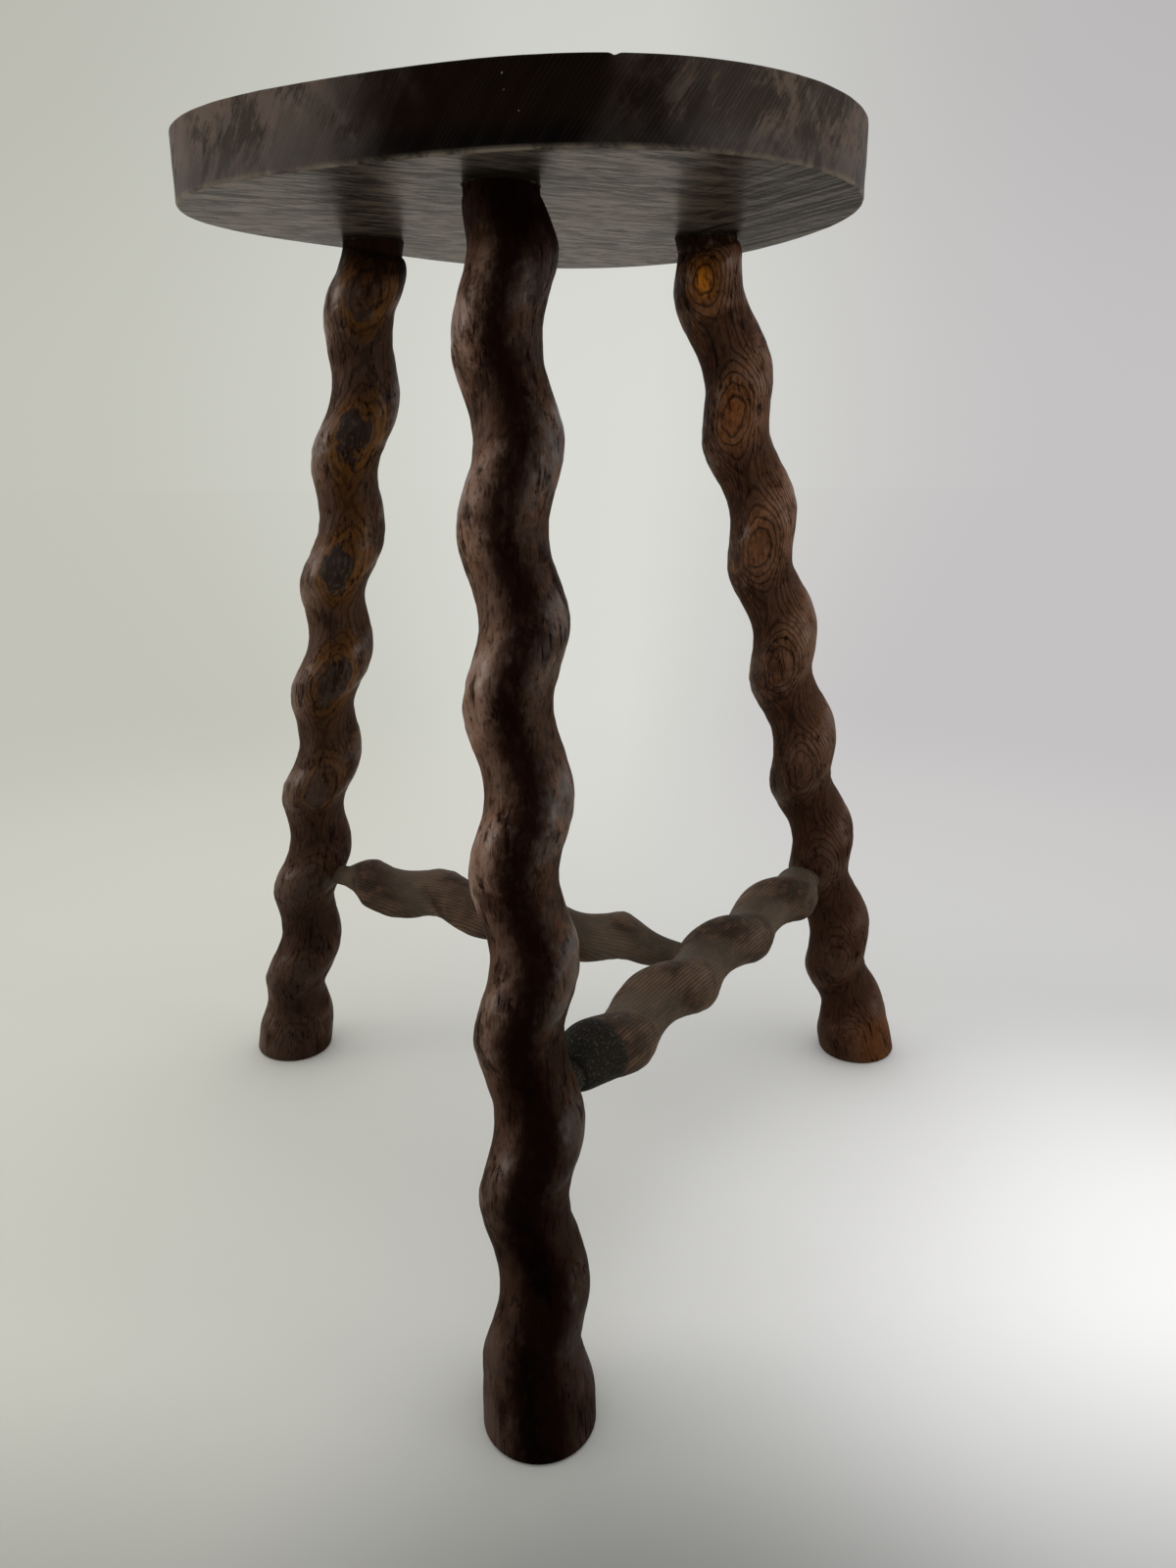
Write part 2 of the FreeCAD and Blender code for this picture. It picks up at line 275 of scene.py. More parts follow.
def new_piece(name, rings, values, rim_map=None):
    """A closed surface from rings of points, with a pole at each end, in metres.

    rings is (rows, columns, 3) in millimetres and wraps round its columns. values are point
    attributes of the same rows and columns. rim_map gives each point a place on the UV map,
    with one column more than the rings for the seam.
    """
    rows, columns, _ = rings.shape
    poles = np.array([rings[0].mean(0), rings[-1].mean(0)])
    vertices = np.concatenate([rings.reshape(-1, 3), poles]) * MM
    row, column = np.meshgrid(np.arange(rows - 1), np.arange(columns), indexing="ij")
    beside = (column + 1) % columns
    quads = np.stack([
        row * columns + column, row * columns + beside,
        (row + 1) * columns + beside, (row + 1) * columns + column,
    ], -1).reshape(-1, 4)
    step = np.arange(columns)
    first_fan = np.stack([np.full(columns, rows * columns), (step + 1) % columns, step], -1)
    base = (rows - 1) * columns
    last_fan = np.stack([np.full(columns, rows * columns + 1), base + step, base + (step + 1) % columns], -1)
    faces = quads.tolist() + first_fan.tolist() + last_fan.tolist()
    mesh = bpy.data.meshes.new(name)
    mesh.from_pydata(vertices.tolist(), [], faces)
    corners = rings.reshape(-1, 3)[quads]
    outward = np.cross(corners[:, 1] - corners[:, 0], corners[:, 3] - corners[:, 0])
    flipped = (outward * (corners[:, 0] - rings.mean((0, 1)))).sum() < 0
    if flipped:
        mesh.flip_normals()
    for label, grid in values.items():
        ends = [grid[0].mean(), grid[-1].mean()]
        attribute = mesh.attributes.new(label, "FLOAT", "POINT")
        attribute.data.foreach_set("value", np.concatenate([grid.ravel(), ends]).astype(np.float32))
    if rim_map is not None:
        place = np.stack([
            rim_map[row, column], rim_map[row, column + 1],
            rim_map[row + 1, column + 1], rim_map[row + 1, column],
        ], -2).reshape(-1, 4, 2)
        if flipped:
            place = place[:, [0, 3, 2, 1]]
        fans = np.zeros((2 * columns * 3, 2))
        layer = mesh.uv_layers.new(name="Rim")
        layer.data.foreach_set("uv", np.concatenate([place.reshape(-1, 2), fans]).ravel().astype(np.float32))
    return placed(name, mesh)


def round_noise_points(angle, cells, along):
    """Places on the noise lattice: a circle of so many cells' radius, carried along."""
    return np.stack([
        cells * np.cos(angle) + TURNED_MIDDLE, cells * np.sin(angle) + TURNED_MIDDLE, along,
    ], -1)


def hand_work(turned, place, angle, seed):
    """Depth of the carver's flats and ripples, wound along with the strand.

    Two lattice noises read at (cosine, sine) of the angle from the strand and at the place
    along the axis: a broad one for the flats and a fine one for the ripples.
    """
    wound = angle - turned
    place = place + 0 * wound
    broad, fine = (
        round_noise_points(wound, cells, place / length + seed) for cells, length in (FLATS, RIPPLES)
    )
    flats = np.clip(2 * lattice_noise(broad, seed) - FLATS_THRESHOLD, 0, 1)
    return CARVING_DEPTH * flats + RIPPLE_DEPTH * lattice_noise(fine, seed + 1)


def leg_piece(leg, rows=560, columns=136):
    """A circle carried up the leg's axis, standing off it by the strand's offset.

    The offset turns with the twist; radius and offset run out into the plain foot and are
    drawn in to the neck. The first ring lies level on the floor and its edge is rounded.
    """
    sizes = LEGS[leg]
    axis = leg_axes[leg]
    angle = np.linspace(0, TURN, columns, endpoint=False)[None, :]
    lean = -(np.cos(angle) * axis.across[2] + np.sin(angle) * axis.beside[2]) / axis.along[2]
    sole = (LEG_BLANK_RADIUS - SOLE_EDGE_ROUND) * lean
    shoulder = axis.length - NECK[2]
    collar = axis.length - NECK[0]
    upper = np.concatenate([
        np.linspace(FOOT_HEIGHT, shoulder, rows),
        (collar - (NECK[2] - NECK[0]) * closing_shares())[::-1][1:],
        np.linspace(collar, axis.length + SEAT_TENON_LENGTH, TENON_ROWS)[1:],
    ])[:, None]
    edge_share = 0.2
    rise = np.concatenate([
        np.linspace(0, edge_share, SOLE_EDGE_ROWS), np.linspace(edge_share, 1, FOOT_ROWS)[1:-1],
    ])[:, None]
    place = np.concatenate([sole + (upper[0] - sole) * rise, upper + 0 * sole])
    share = place / axis.length
    carved = smooth((place - FOOT_HEIGHT) / FOOT_RUNOUT)
    strand = LEG_STRAND_RADII[0] * (1 - share) + LEG_STRAND_RADII[1] * share
    radius = strand * carved + LEG_BLANK_RADIUS * (1 - carved)
    radius, offset = drawn_in(axis.length - place, NECK, radius, LEG_STRAND_OFFSET * carved)
    turned = twist_angle(share, axis.length, sizes["start"], sizes["pitches"])
    work = hand_work(turned, place, angle, sizes["seed"])
    work = work * smooth((place - CARVING_START) / CARVING_FADE) * smooth((collar - place) / NECK_FADE)
    round_off = np.clip(SOLE_EDGE_ROUND - (place - sole), 0, SOLE_EDGE_ROUND)
    radius = radius - work - SOLE_EDGE_ROUND + np.sqrt(SOLE_EDGE_ROUND ** 2 - round_off ** 2)
    first = offset * np.cos(turned) + radius * np.cos(angle)
    second = offset * np.sin(turned) + radius * np.sin(angle)
    rings = axis.points(first, second, place)
    inner = [rings[0] * part + axis.start * (1 - part) for part in (0.3, 0.8, 0.97)]
    rings = np.concatenate([inner, rings])
    rings[..., 2] = np.maximum(rings[..., 2], 0)
    bulk = np.hypot(first, second)
    hollow = 1 - np.clip((bulk - (strand - LEG_STRAND_OFFSET)) / (2 * LEG_STRAND_OFFSET), 0, 1)
    hollow = hollow * smooth((shoulder - place) / VALLEY_FADE)
    hollow = np.concatenate([np.repeat(hollow[:1], len(inner), 0), hollow])
    from_front = np.abs(np.mod(angle - STAIN_AND_SHADE_BEARING + math.pi, TURN) - math.pi)
    front = np.clip(1 - from_front / (math.pi / 2), 0, 1) * np.ones((len(rings), 1))
    piece = new_piece("carved_leg_" + leg, rings, {"hollow": hollow, "front": front})
    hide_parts(leg + "_leg")
    return piece


def rail_piece(rail, rows=420, columns=112):
    """A circle carried along the rail's axis, off it by the strand's turning offset.

    Radius and offset shrink to the collar along each nose, and a plain tapered tenon follows.
    """
    sizes = RAILS[rail]
    axis = rail_axes[rail]
    near, far = sizes["near"], sizes["far"]
    angle = np.linspace(0, TURN, columns, endpoint=False)[None, :]
    closing = closing_shares()
    place = np.concatenate([
        np.linspace(near[0], near[2], TENON_ROWS)[:-1],
        near[2] + (near[4] - near[2]) * closing[:-1],
        np.linspace(near[4], axis.length - far[4], rows),
        (axis.length - far[2] - (far[4] - far[2]) * closing)[::-1][1:],
        np.linspace(axis.length - far[2], axis.length - far[0], TENON_ROWS)[1:],
    ])[:, None]
    share = place / axis.length
    radius = sizes["strand"][0] * (1 - share) + sizes["strand"][1] * share
    offset = sizes["offset"] * np.ones_like(radius)
    for distance, (stop, tip, collar, collar_radius, shoulder, roundness) in (
        (place, near), (axis.length - place, far),
    ):
        tenon = tip + (collar_radius - tip) * np.clip((distance - stop) / (collar - stop), 0, 1)
        radius, offset = drawn_in(distance, (collar, tenon, shoulder, roundness), radius, offset)
    turned = twist_angle(share, axis.length, sizes["start"], sizes["pitches"])
    work = hand_work(turned, place, angle, sizes["seed"]) * np.clip(offset / sizes["offset"], 0, 1)
    radius = radius - RAIL_CARVING_SHARE * work
    first = offset * np.cos(turned) + radius * np.cos(angle)
    second = offset * np.sin(turned) + radius * np.sin(angle)
    bulk = np.hypot(first, second)
    middle = sum(sizes["strand"]) / 2
    hollow = 1 - np.clip((bulk - middle + sizes["offset"]) / (2 * sizes["offset"]), 0, 1)
    rings = axis.points(first, second, place * np.ones_like(bulk))
    piece = new_piece("carved_rail_" + rail, rings, {"hollow": hollow})
    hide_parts(rail + "_stretcher")
    return piece


def seat_piece(columns=1300):
    """The sawn slab: a profile of plain faces and rounded rims carried round the outline.

    Each ring keeps the outline's shape, drawn in by an inset. The rim carries a small chip
    and a slight unevenness, both of them cut inwards only.
    """
    angle = np.linspace(0, TURN, columns, endpoint=False)
    outline = outline_radius(angle)
    quarter = np.linspace(0, math.pi / 2, SEAT_ROUND_ROWS)
    inset = SEAT_EDGE_ROUND * (1 - np.sin(quarter))
    drop = SEAT_EDGE_ROUND * (1 - np.cos(quarter))
    faces = (0.02, 0.25, 0.5, 0.75, 0.9, 0.97)
    sides = np.linspace(0, 1, SEAT_RIM_ROWS)[1:-1]
    thickness = SEAT_TOP - UNDERSIDE
    rim_height = thickness - 2 * SEAT_EDGE_ROUND
    rows = [(SEAT_TOP, SEAT_EDGE_ROUND, scale) for scale in faces]
    rows += [(SEAT_TOP - depth, step, 1.0) for depth, step in zip(drop, inset)]
    rows += [(SEAT_TOP - SEAT_EDGE_ROUND - part * rim_height, 0.0, 1.0) for part in sides]
    rows += [(UNDERSIDE + depth, step, 1.0) for depth, step in zip(drop[::-1], inset[::-1])]
    rows += [(UNDERSIDE, SEAT_EDGE_ROUND, scale) for scale in faces[::-1]]
    heights, insets, scales = (np.array(column)[:, None] for column in zip(*rows))
    points = np.stack([
        outline[None] / RIM_CELL_WIDTH * np.cos(angle) + SEAT_NOISE_MIDDLE + 0 * heights,
        outline[None] / RIM_CELL_WIDTH * np.sin(angle) + SEAT_NOISE_MIDDLE + 0 * heights,
        heights / RIM_CELL_HEIGHT + 0 * angle,
    ], -1)
    on_rim = (scales == 1.0)
    wobble = RIM_UNEVENNESS * lattice_noise(points, 5) * on_rim
    chip_angle = math.radians(CHIP_BEARING) % TURN
    chip = CHIP_DEPTH * np.exp(-((angle - chip_angle) / CHIP_HALF_WIDTH) ** 2)
    chip = chip * np.exp(-((heights - SEAT_TOP) / CHIP_HEIGHT) ** 2) * on_rim
    radius = (outline[None] - insets - wobble - chip) * scales
    rings = np.stack([
        SEAT_MIDDLE[0] + radius * np.cos(angle),
        SEAT_MIDDLE[1] + radius * np.sin(angle),
        heights - chip + 0 * angle,
    ], -1)
    lower = np.exp(-((heights - UNDERSIDE - WORN_HEIGHT) / WORN_HALF_WIDTH) ** 2)
    lower = lower * (insets < SEAT_EDGE_ROUND) * np.ones_like(radius)
    side = (heights < SEAT_TOP - FACE_MARGIN) * (heights > UNDERSIDE + FACE_MARGIN) * np.ones_like(radius)
    closed = np.append(angle, TURN)
    arc = np.concatenate([[0], np.cumsum(np.hypot(*np.diff([
        outline_radius(closed) * np.cos(closed), outline_radius(closed) * np.sin(closed)], axis=1)))])
    rim_map = np.stack([arc[None] * MM + 0 * heights, heights * MM + 0 * arc[None]], -1)
    piece = new_piece("sawn_seat", rings, {"lower_rim": lower, "side": side}, rim_map)
    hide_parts("seat")
    return piece


def glue_bead(leg, height, seed, rows=150, columns=14):
    """A lumpy ring of dried glue and dust round a neck: a torus whose thickness is noise."""
    axis = leg_axes[leg]
    around = np.linspace(0, TURN, rows, endpoint=False)[:, None]
    about = np.linspace(0, TURN, columns, endpoint=False)[None, :]
    reach = round_noise_points(around + 0 * about, GLUE_CELLS[0], about * GLUE_CELLS[1] + 0 * around + seed)
    lumps = lattice_noise(GLUE_CELL_SCALE * reach, seed)
    thick = height * (GLUE_SHARES[0] + GLUE_SHARES[1] * lumps ** 4)
    centre = NECK[1] - GLUE_SET_IN
    first = (centre + thick * np.cos(about)) * np.cos(around)
    second = (centre + thick * np.cos(about)) * np.sin(around)
    middle = axis.start + axis.along * axis.length
    flat_out = 1 / axis.along[2]
    rings = np.stack([
        middle[0] + first * flat_out, middle[1] + second * flat_out,
        UNDERSIDE - GLUE_SINK_SHARE * height + thick * np.sin(about) + 0 * around,
    ], -1)
    vertices = rings.reshape(-1, 3) * MM
    row, column = np.meshgrid(np.arange(rows), np.arange(columns), indexing="ij")
    next_row, beside = (row + 1) % rows, (column + 1) % columns
    quads = np.stack([row * columns + column, next_row * columns + column,
                      next_row * columns + beside, row * columns + beside], -1).reshape(-1, 4)
    mesh = bpy.data.meshes.new("glue_line_" + leg)
    mesh.from_pydata(vertices.tolist(), [], quads.tolist())
    piece = placed("glue_line_" + leg, mesh)
    return piece


# ---- Shader expressions ----


class Socket:
    """A node's output. Arithmetic on it adds the Math nodes that work it out."""

    def __init__(self, nodes, output):
        self.nodes = nodes
        self.output = output

    def maths(self, operation, *others):
        return self.nodes.maths(operation, self, *others)

    def __add__(self, other):
        return self.maths("ADD", other)

    def __sub__(self, other):
        return self.maths("SUBTRACT", other)

    def __mul__(self, other):
        return self.maths("MULTIPLY", other)

    def __truediv__(self, other):
        return self.maths("DIVIDE", other)

    def __neg__(self):
        return self.maths("MULTIPLY", -1.0)

    def __rsub__(self, other):
        return self.nodes.maths("SUBTRACT", other, self)

    def swing(self, amount):
        """A noise's departure from its middle, times an amount."""
        return (self - 0.5) * amount

    __radd__ = __add__
    __rmul__ = __mul__


class Nodes:
    """Adds nodes to one tree."""

    def __init__(self, tree):
        self.tree = tree

    def fill(self, socket, value):
        if isinstance(value, Socket):
            self.tree.links.new(value.output, socket)
        elif socket.type == "RGBA" and len(value) == 3:
            socket.default_value = (*value, 1.0)
        else:
            socket.default_value = value

    def node(self, kind, settings, sockets, output=0):
        """One node: its settings first, then the values or links of its sockets."""
        node = self.tree.nodes.new("ShaderNode" + kind)
        for name, value in settings.items():
            if name == "stops":
                elements = node.color_ramp.elements
                while len(elements) < len(value):
                    elements.new(1.0)
                for element, (position, colour) in zip(elements, value):
                    element.position = position
                    element.color = (*colour, 1.0)
            else:
                setattr(node, name, value)
        for name, value in sockets.items():
            self.fill(node.inputs[name], value)
        return Socket(self, node.outputs[output])

    def maths(self, operation, *values):
        return self.node("Math", {"operation": operation}, dict(enumerate(values)))

    def vector(self, operation, *values, output=0):
        return self.node("VectorMath", {"operation": operation}, dict(enumerate(values)), output)

    def parts(self, vector):
        first = self.node("SeparateXYZ", {}, {"Vector": vector})
        outputs = first.output.node.outputs
        return [Socket(self, outputs[index]) for index in range(3)]

    def step(self, value, low, high, start=0.0, end=1.0):
        """Smoothly from start below low to end above high."""
        return self.node("MapRange", {"interpolation_type": "SMOOTHSTEP"}, {
            "Value": value, "From Min": low, "From Max": high, "To Min": start, "To Max": end,
        })

    def band(self, value, low, full, ebb, gone):
        """Rises from low to full, and falls again from ebb to gone."""
        return self.step(value, low, full) * (1 - self.step(value, ebb, gone))

    def blend(self, factor, first, second):
        """Two colours mixed by a factor; inputs 0, 6 and 7 of the Mix node are the colour ones."""
        return self.node("Mix", {"data_type": "RGBA"}, {0: factor, 6: first, 7: second}, 2)

    def coats(self, colour, *coats):
        """A colour under coats of other tones, laid on in order, each by its own factor."""
        for factor, tone in coats:
            colour = self.blend(factor, colour, tone)
        return colour

    def ramp(self, factor, stops):
        return self.node("ValToRGB", {"stops": stops}, {"Fac": factor})

    def noise(self, vector, scale=1.0, detail=3.0, roughness=0.5, distortion=0.0):
        return self.node("TexNoise", {"noise_dimensions": "3D"}, {
            "Vector": vector, "Scale": scale, "Detail": detail,
            "Roughness": roughness, "Distortion": distortion,
        })

    def stretched_noise(self, vector, scale, detail=3.0, roughness=0.5, distortion=0.0):
        return self.noise(self.vector("MULTIPLY", vector, scale), 1.0, detail, roughness, distortion)

    def noises(self, vector, table, *names):
        return [self.stretched_noise(vector, *table[name]) for name in names]

    def turned(self, vector, degrees):
        """A place turned about its third axis."""
        return self.node("Mapping", {}, {
            "Vector": vector, "Rotation": (0, 0, math.radians(degrees)),
        })


class Finish(Nodes):
    """One material and its nodes."""

    def __init__(self, name):
        self.material = bpy.data.materials.new(name)
        self.material.use_nodes = True
        super().__init__(self.material.node_tree)
        self.shader = self.tree.nodes["Principled BSDF"]

    def local(self, location=(0, 0, 0), rotation=(0, 0, 0)):
        """Object coordinates in a piece's own frame."""
        return self.node("Mapping", {"vector_type": "TEXTURE"}, {
            "Vector": self.node("TexCoord", {}, {}, "Object"),
            "Location": location, "Rotation": rotation,
        })

    def attribute(self, name):
        return self.node("Attribute", {"attribute_name": name}, {}, "Fac")

    def bump(self, height, distance, strength=1.0):
        return self.node("Bump", {}, {
            "Height": height, "Distance": distance, "Strength": strength,
        })

    def put(self, **values):
        """Set or link the shader's sockets, named with underscores for spaces."""
        for name, value in values.items():
            self.fill(self.shader.inputs[name.replace("_", " ")], value)
        return self.material


# ---- Tones, noises and steps of the finishes ----

# Old wax gives the wood's own gloss a brown tint
WARM_GLOSS = (1.0, 0.62, 0.38, 1.0)

# Leg tones: left and right are the flanks, the one towards the open side of the room painted lighter
# (painted light); crown is the top oval, its gold raised against the seat's shade (painted light)
LEG_TONES = {
    "front": {
        "left": (0.144, 0.083, 0.056), "right": (0.040, 0.027, 0.021), "warm": (0.122, 0.051, 0.023),
        "light": (0.128, 0.075, 0.049), "shade": (0.013, 0.006, 0.0035), "ring": (0.0052, 0.0015, 0.0008),
        "heart": (0.060, 0.034, 0.022), "crown": (0.060, 0.034, 0.022), "fringe": (0.060, 0.034, 0.022),
    },
    "left": {
        "left": (0.114, 0.067, 0.045), "right": (0.032, 0.0155, 0.0086), "warm": (0.122, 0.052, 0.020),
        "light": (0.105, 0.066, 0.046), "shade": (0.016, 0.008, 0.005), "ring": (0.007, 0.003, 0.002),
        "heart": (0.018, 0.009, 0.005), "crown": (0.050, 0.020, 0.006), "fringe": (0.112, 0.044, 0.007),
    },
    "right": {
        "left": (0.030, 0.0146, 0.0092), "right": (0.152, 0.076, 0.046), "warm": (0.152, 0.060, 0.020),
        "light": (0.172, 0.092, 0.057), "shade": (0.018, 0.008, 0.0045), "ring": (0.007, 0.0035, 0.002),
        "heart": (0.152, 0.046, 0.006), "crown": (0.440, 0.142, 0.006), "fringe": (0.130, 0.044, 0.007),
    },
}
# Near black at the lower front of a leg: stain deepened by painted shade
DEEPEST_STAIN_AND_SHADE = (0.0008, 0.0003, 0.0001)
RAIL_TONES = {
    "body": (0.086, 0.056, 0.038), "shade": (0.025, 0.017, 0.012), "warm": (0.122, 0.067, 0.040),
    "ring": (0.012, 0.008, 0.005), "dust": (0.060, 0.049, 0.035),
}
DARK_COLLAR = {"reach": (0.043, 0.046), "stain": (0.012, 0.011, 0.009), "crumb": (0.06, 0.055, 0.045)}
SEAT_TONES = {
    "dark": (0.029, 0.022, 0.018), "pale": (0.098, 0.072, 0.056),
    "rusty_left": (0.088, 0.070, 0.059), "rusty_right": (0.094, 0.055, 0.035),
    "low_band": (0.048, 0.045, 0.045), "broad": (0.095, 0.076, 0.064),
    # The middle tones are painted shade on the rim where it faces the dim side of the room
    "middle": (0.0034, 0.0015, 0.0009), "middle_low": (0.0009, 0.0007, 0.0007),
    "marks": (0.105, 0.084, 0.070), "speck": (0.24, 0.21, 0.16), "worn": (0.19, 0.16, 0.12),
    "under_dark": (0.012, 0.0095, 0.0075), "under_pale": (0.081, 0.066, 0.050),
    "wide": (0.100, 0.082, 0.062), "scratch": (0.008, 0.006, 0.004),
    # The last tone darkens the underside round the leg sockets: grime with painted shade
    "sawn_side": (0.042, 0.034, 0.024), "cut": (0.003, 0.002, 0.0015), "grime_and_shade": (0.008, 0.005, 0.004),
}
GLUE_TONES = ((0.012, 0.008, 0.006), (0.10, 0.075, 0.05))

# Wall and floor colours from left to right, and the floor's other tones: its painted pool of light,
# as light from it reaches the wood, from the front and from the open sides, and as gloss mirrors it
BACKDROP = (
    (0.0, (0.54, 0.54, 0.48)), (0.45, (0.69, 0.70, 0.65)),
    (0.65, (0.70, 0.71, 0.66)), (1.0, (0.55, 0.535, 0.54)),
)
PAPER = ((0.0, (0.550, 0.550, 0.495)), (0.5, (0.580, 0.580, 0.555)), (1.0, (0.542, 0.542, 0.534)))
PAPER_TONES = {
    "pool": (0.90, 0.90, 0.90), "front": (0.40, 0.40, 0.39), "sides": (0.62, 0.62, 0.60),
    "mirrored": (0.71, 0.66, 0.56), "mirrored_far": (0.72, 0.65, 0.55),
}

# Each leg's timber: pith across its axis, the reach at which its layers are counted from and
# their spacing, in metres; how far blotches bend the ovals' colours, and the layer counts over
# which the heart of an oval turns into its fringe and the fringe ends; the heights over which
# the ovals colour and over which the dark lower end gives way, how far the dark neck (stain with
# painted shade under the seat) reaches down, the places across the leg between which its left tone
# changes to its right one (painted light on the flank towards the open side), and the shares of
# rings, stain blotches, dark front (stain with painted shade), dark valleys (dirt with painted shade),
# dark lower end, orange right side of the foot and polish
LEG_GRAIN = {
    "front": {"pith": (0.09, 0.02, 0), "reach": 0.070, "spacing": 0.0013, "waviness": 0.006,
              "wander": 0, "fringe": (0, 1), "edge": (1, 2), "fade": (0.0, 0.1), "neck": 0.042,
              "ring_share": 0.08, "stain": 0.75, "stripe": 0.985, "change": (-0.012, 0.012),
              "valley": 0.5, "low": 0.80, "low_end": (0.05, 0.25), "foot": 0, "polish": 0.50},
    "left": {"pith": (0.010, -0.059, 0), "reach": 0.0392, "spacing": 0.0021, "waviness": 0.014,
             "wander": 9, "fringe": (0.9, 1.5), "edge": (2.4, 4.5), "fade": (0.05, 0.30), "neck": 0.020,
             "ring_share": 0.50, "stain": 0.50, "stripe": 0.30, "change": (0.001, 0.018),
             "valley": 0.50, "low": 0.60, "low_end": (0.05, 0.30), "foot": 0, "polish": 0.40},
    "right": {"pith": (-0.015, -0.058, 0), "reach": 0.0392, "spacing": 0.0015, "waviness": 0.005,
              "wander": 2, "fringe": (0.6, 1.6), "edge": (1.6, 4.1), "fade": (0.22, 0.45), "neck": 0.006,
              "ring_share": 0.72, "stain": 0.50, "stripe": 0.0, "change": (-0.012, 0.006),
              "valley": 0.60, "low": 0.70, "low_end": (0.12, 0.34), "foot": 0.30, "polish": 0.25},
}
RAIL_GRAIN = {"pith": (0.055, -0.05, 0), "reach": 0.050, "spacing": 0.0014, "waviness": 0.002}

# Noises: repeats to a metre each way, detail, roughness and, where it has one, distortion
LAYER_NOISES = {"slow": ((32, 32, 12), 3.0, 0.55), "fine": ((260, 260, 60), 2.0, 0.5)}
LEG_NOISES = {
    "blotch": ((70, 70, 40), 5.0, 0.68), "cloud": ((210, 210, 130), 4.0, 0.62),
    "cracks": ((520, 520, 55), 3.0, 0.7, 0.4), "fleck": ((640, 640, 230), 3.0, 0.7),
}
RAIL_NOISES = {
    "blotch": ((60, 60, 30), 4.0, 0.6), "cloud": ((220, 220, 130), 3.0, 0.6),
    "cracks": ((1000, 1000, 70), 3.0, 0.65), "speck": ((900, 900, 900), 2.0, 0.7),
}
SEAT_NOISES = {
    "drift": ((25, 60, 1), 2.0, 0.5), "strength": ((22, 240, 1), 3.0, 0.6),
    "broad": ((18, 120, 1), 3.0, 0.6), "strokes": ((80, 300, 1), 5.0, 0.72, 0.4),
    "streaks": ((75, 380, 1), 6.0, 0.72, 0.5), "wide": ((10, 60, 1), 3.0, 0.6),
    "scratch": ((60, 800, 1), 3.0, 0.65, 0.6), "cuts": ((9, 290, 1), 3.0, 0.7),
    "mottle": (42, 6.0, 0.70, 0.5), "patch": (17, 3.0, 0.55), "speck": (420, 1.0, 0.5),
}
GLUE_NOISE = (900.0, 3.0, 0.6)

# Steps: from and to which value they rise, and, where not from 0 to 1, their ends
LATE_WOOD = (0.08, 0.26, 0.34, 0.52)
FIRST_LAYER = (0.9, 1.1)
LEG_STEPS = {
    "crack": (0.56, 0.61), "cracked": (0.38, 0.58), "foot": (0.022, 0.034), "foot_side": (-0.012, 0.008),
    "stripe": (0.50, 0.92), "stripe_cloud": (0.45, 0.75), "deepest": (0.75, 1.0),
    "deepest_blotch": (0.42, 0.60, 1.0, 0.4), "crown": (0.395, 0.42), "warm": (0.42, 0.70, 0, 0.6),
    "light": (0.50, 0.64, 0, 0.42), "shade": (0.38, 0.46, 0.55, 0), "stain": (0.50, 0.62),
    "valley": (0.40, 0.95), "polish_blotch": (0.40, 0.60, 1.0, 0.2), "polish_hollow": (0.30, 0.62, 1.0, 0.1),
    "polish_up": (0.06, 0.20, 0.5, 1.0),
}
RAIL_STEPS = {
    "crack": (0.60, 0.70), "body": (0.36, 0.66), "warm": (0.45, 0.75, 0, 0.6), "dust": (0.45, 0.95, 0, 0.55),
    "crumb": (0.5, 0.8),
}
SEAT_STEPS = {
    "marks": (0.36, 0.58), "low_band": (0.004, 0.011, 1.0, 0.0), "rusty_right": (0.0, 0.10),
    "pale": (0.44, 0.56), "rusty": (0.50, 0.56, 0, 0.6), "broad": (0.5, 0.8, 0, 0.3),
    "speck": (0.80, 0.84, 0, 0.6), "under_pale": (0.43, 0.58), "wide": (0.46, 0.62, 0, 0.35),
    "scratch": (0.54, 0.62, 0, 0.6), "sawn_side": (0.055, 0.09), "cut": (0.48, 0.54),
    "grime_and_shade": (0.017, 0.034, 0.85, 0.0), "worn": (0.35, 0.6, 0, 0.8), "gloss": (0.42, 0.58, 0.12, 0.34),
}
GLUE_STEP = (0.45, 0.7)
PAPER_STEPS = {
    "under": (0.02, 0.17, 0.60, 1.0), "front": (-0.30, -0.09, 0.42, 1.0), "pool": (0.02, 0.30, 1.0, 0.0),
    "across": (-0.30, 0.34), "fade": (0.25, 1.1),
}
BACKDROP_STEP = (-0.46, 0.46)

# How far a noise shifts the edges of a step, in the step's own measure
LEG_SWINGS = {"foot": 0.004, "front": 0.5, "layers": 1.5, "neck": 0.02}
SEAT_SWINGS = {"low_band": 0.006, "bearing": 0.6, "rusty": 0.35, "sawn_side": 0.1, "grime_and_shade": 0.03}
LAYER_SWING = 0.5
COLLAR_SWING = 0.002

# How much of a tone shows where it is full
LEG_SHARES = {"crack": 0.85, "neck": 0.9, "unstained_eye": 0.6, "stripe_least": 0.88, "full_neck": 0.3}
RAIL_SHARES = {"ring": 0.6, "crack": 0.5}
SEAT_SHARES = {
    "low_band": 0.5, "middle": 0.985, "marks": 0.20, "marks_lost": 0.175, "sawn_side": 0.6, "cut": 0.9,
}

# How much wider the dark stripe is low down, and by how many layers the top oval is larger
STRIPE_WIDENING = 0.10
CROWN_GROWTH = 1.1

